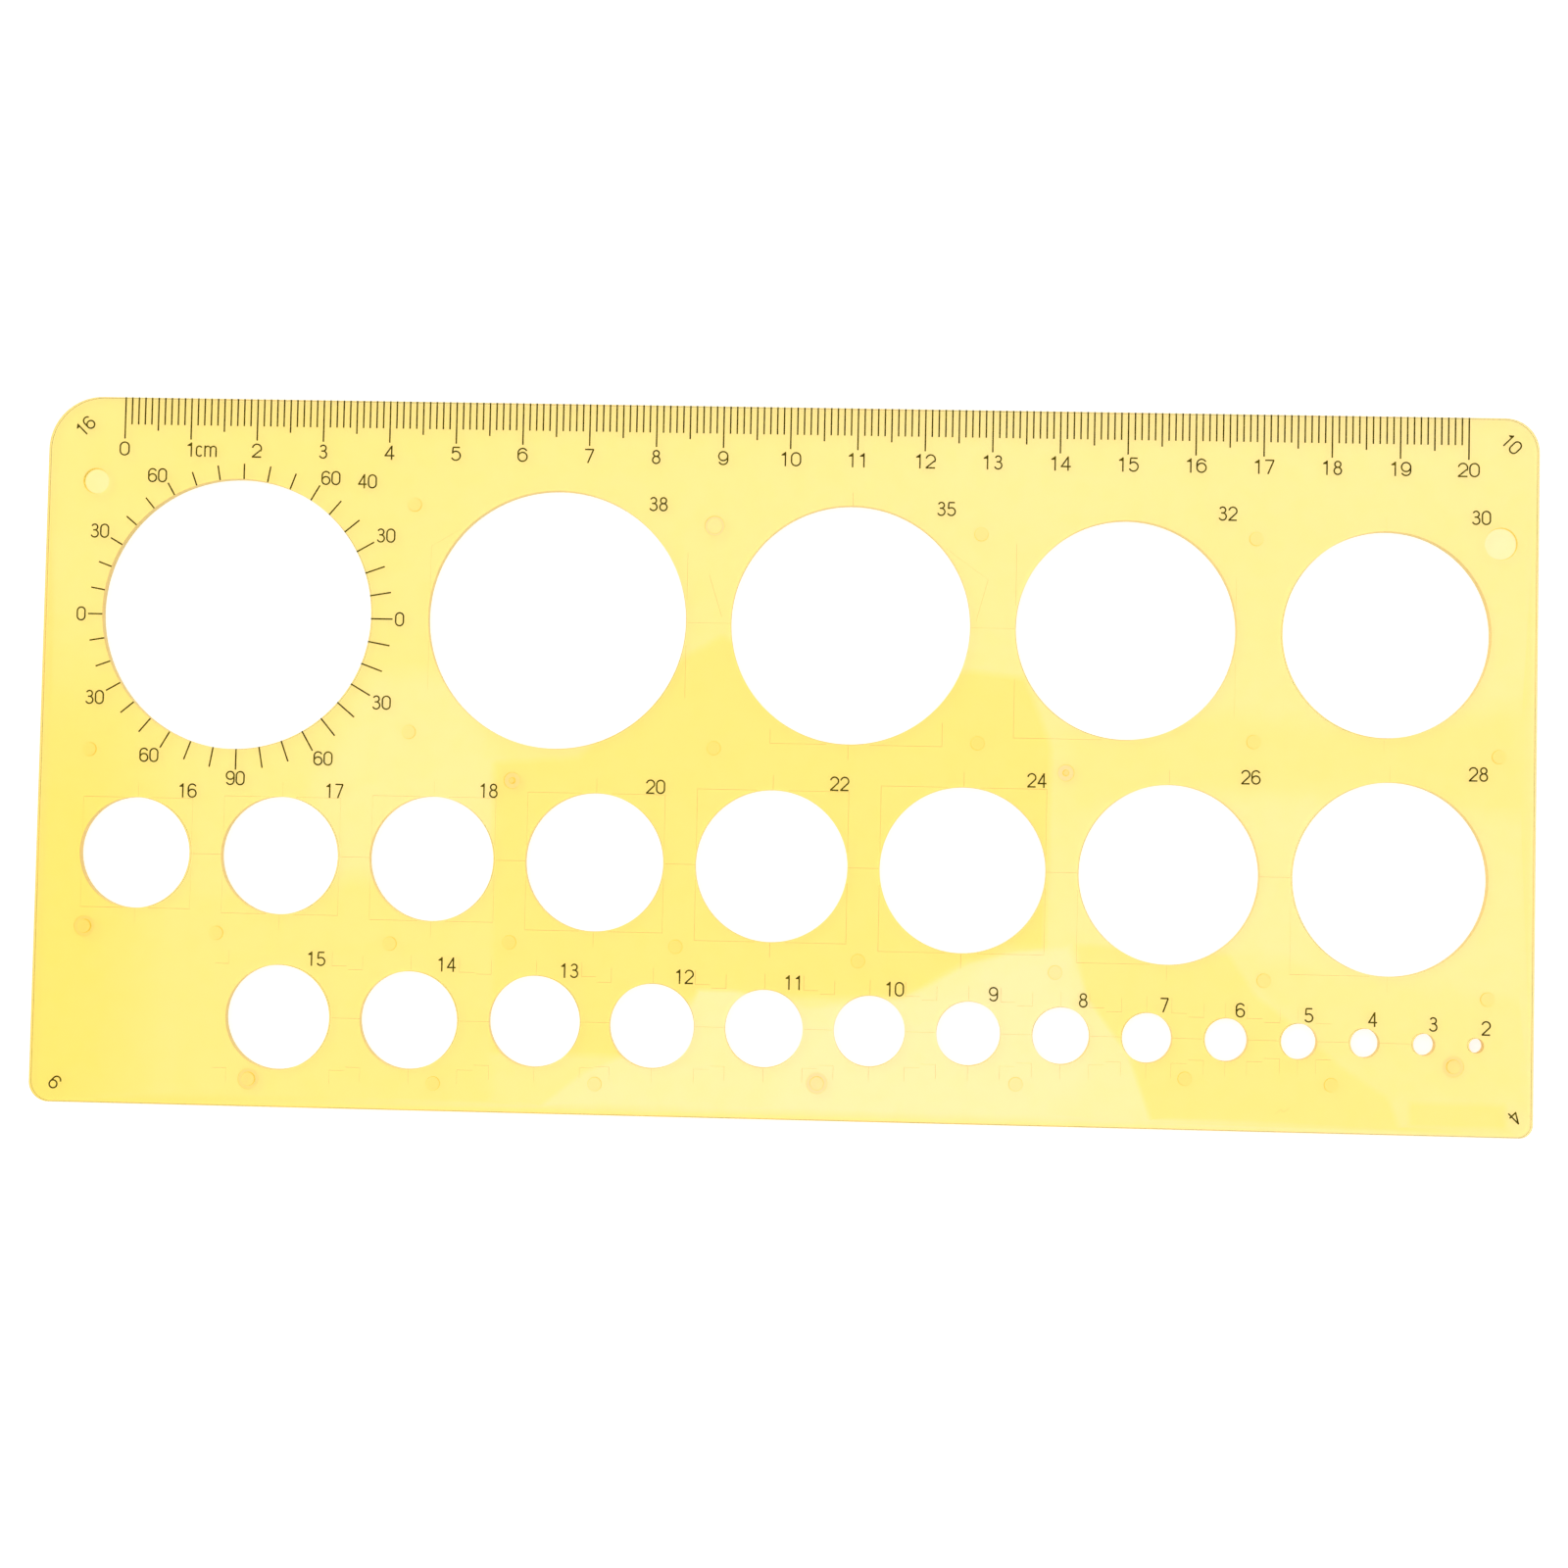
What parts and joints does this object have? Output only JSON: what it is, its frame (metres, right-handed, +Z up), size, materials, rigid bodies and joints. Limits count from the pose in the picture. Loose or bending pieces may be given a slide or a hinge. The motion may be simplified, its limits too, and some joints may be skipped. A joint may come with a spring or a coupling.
{
  "type": "circle template",
  "caption": "Flat clear yellow drawing template with three rows of round cut-outs, a centimetre rule along one edge and a protractor scale round the largest cut-out.",
  "frame": {"origin": "centre of the sheet's underside, where it lies on the paper", "axes": "+X along the rule from zero to its far end, +Y towards the ruled edge, +Z up out of the printed face"},
  "size_m": [0.2218, 0.1056, 0.0018],
  "materials": {
    "sheet": "clear yellow moulded plastic, polished",
    "ink": "thin dark olive-brown printed ink"
  },
  "bodies": {
    "root": {"template_sheet": "sheet", "millimetre_ticks": "ink", "five_millimetre_ticks": "ink", "centimetre_ticks": "ink", "rule_numerals": "ink", "unit_mark": "ink", "protractor_ticks": "ink", "protractor_numerals": "ink", "large_row_sizes": "ink", "middle_row_sizes": "ink", "small_row_sizes": "ink", "corner_sizes": "ink"}
  },
  "joints": []
}
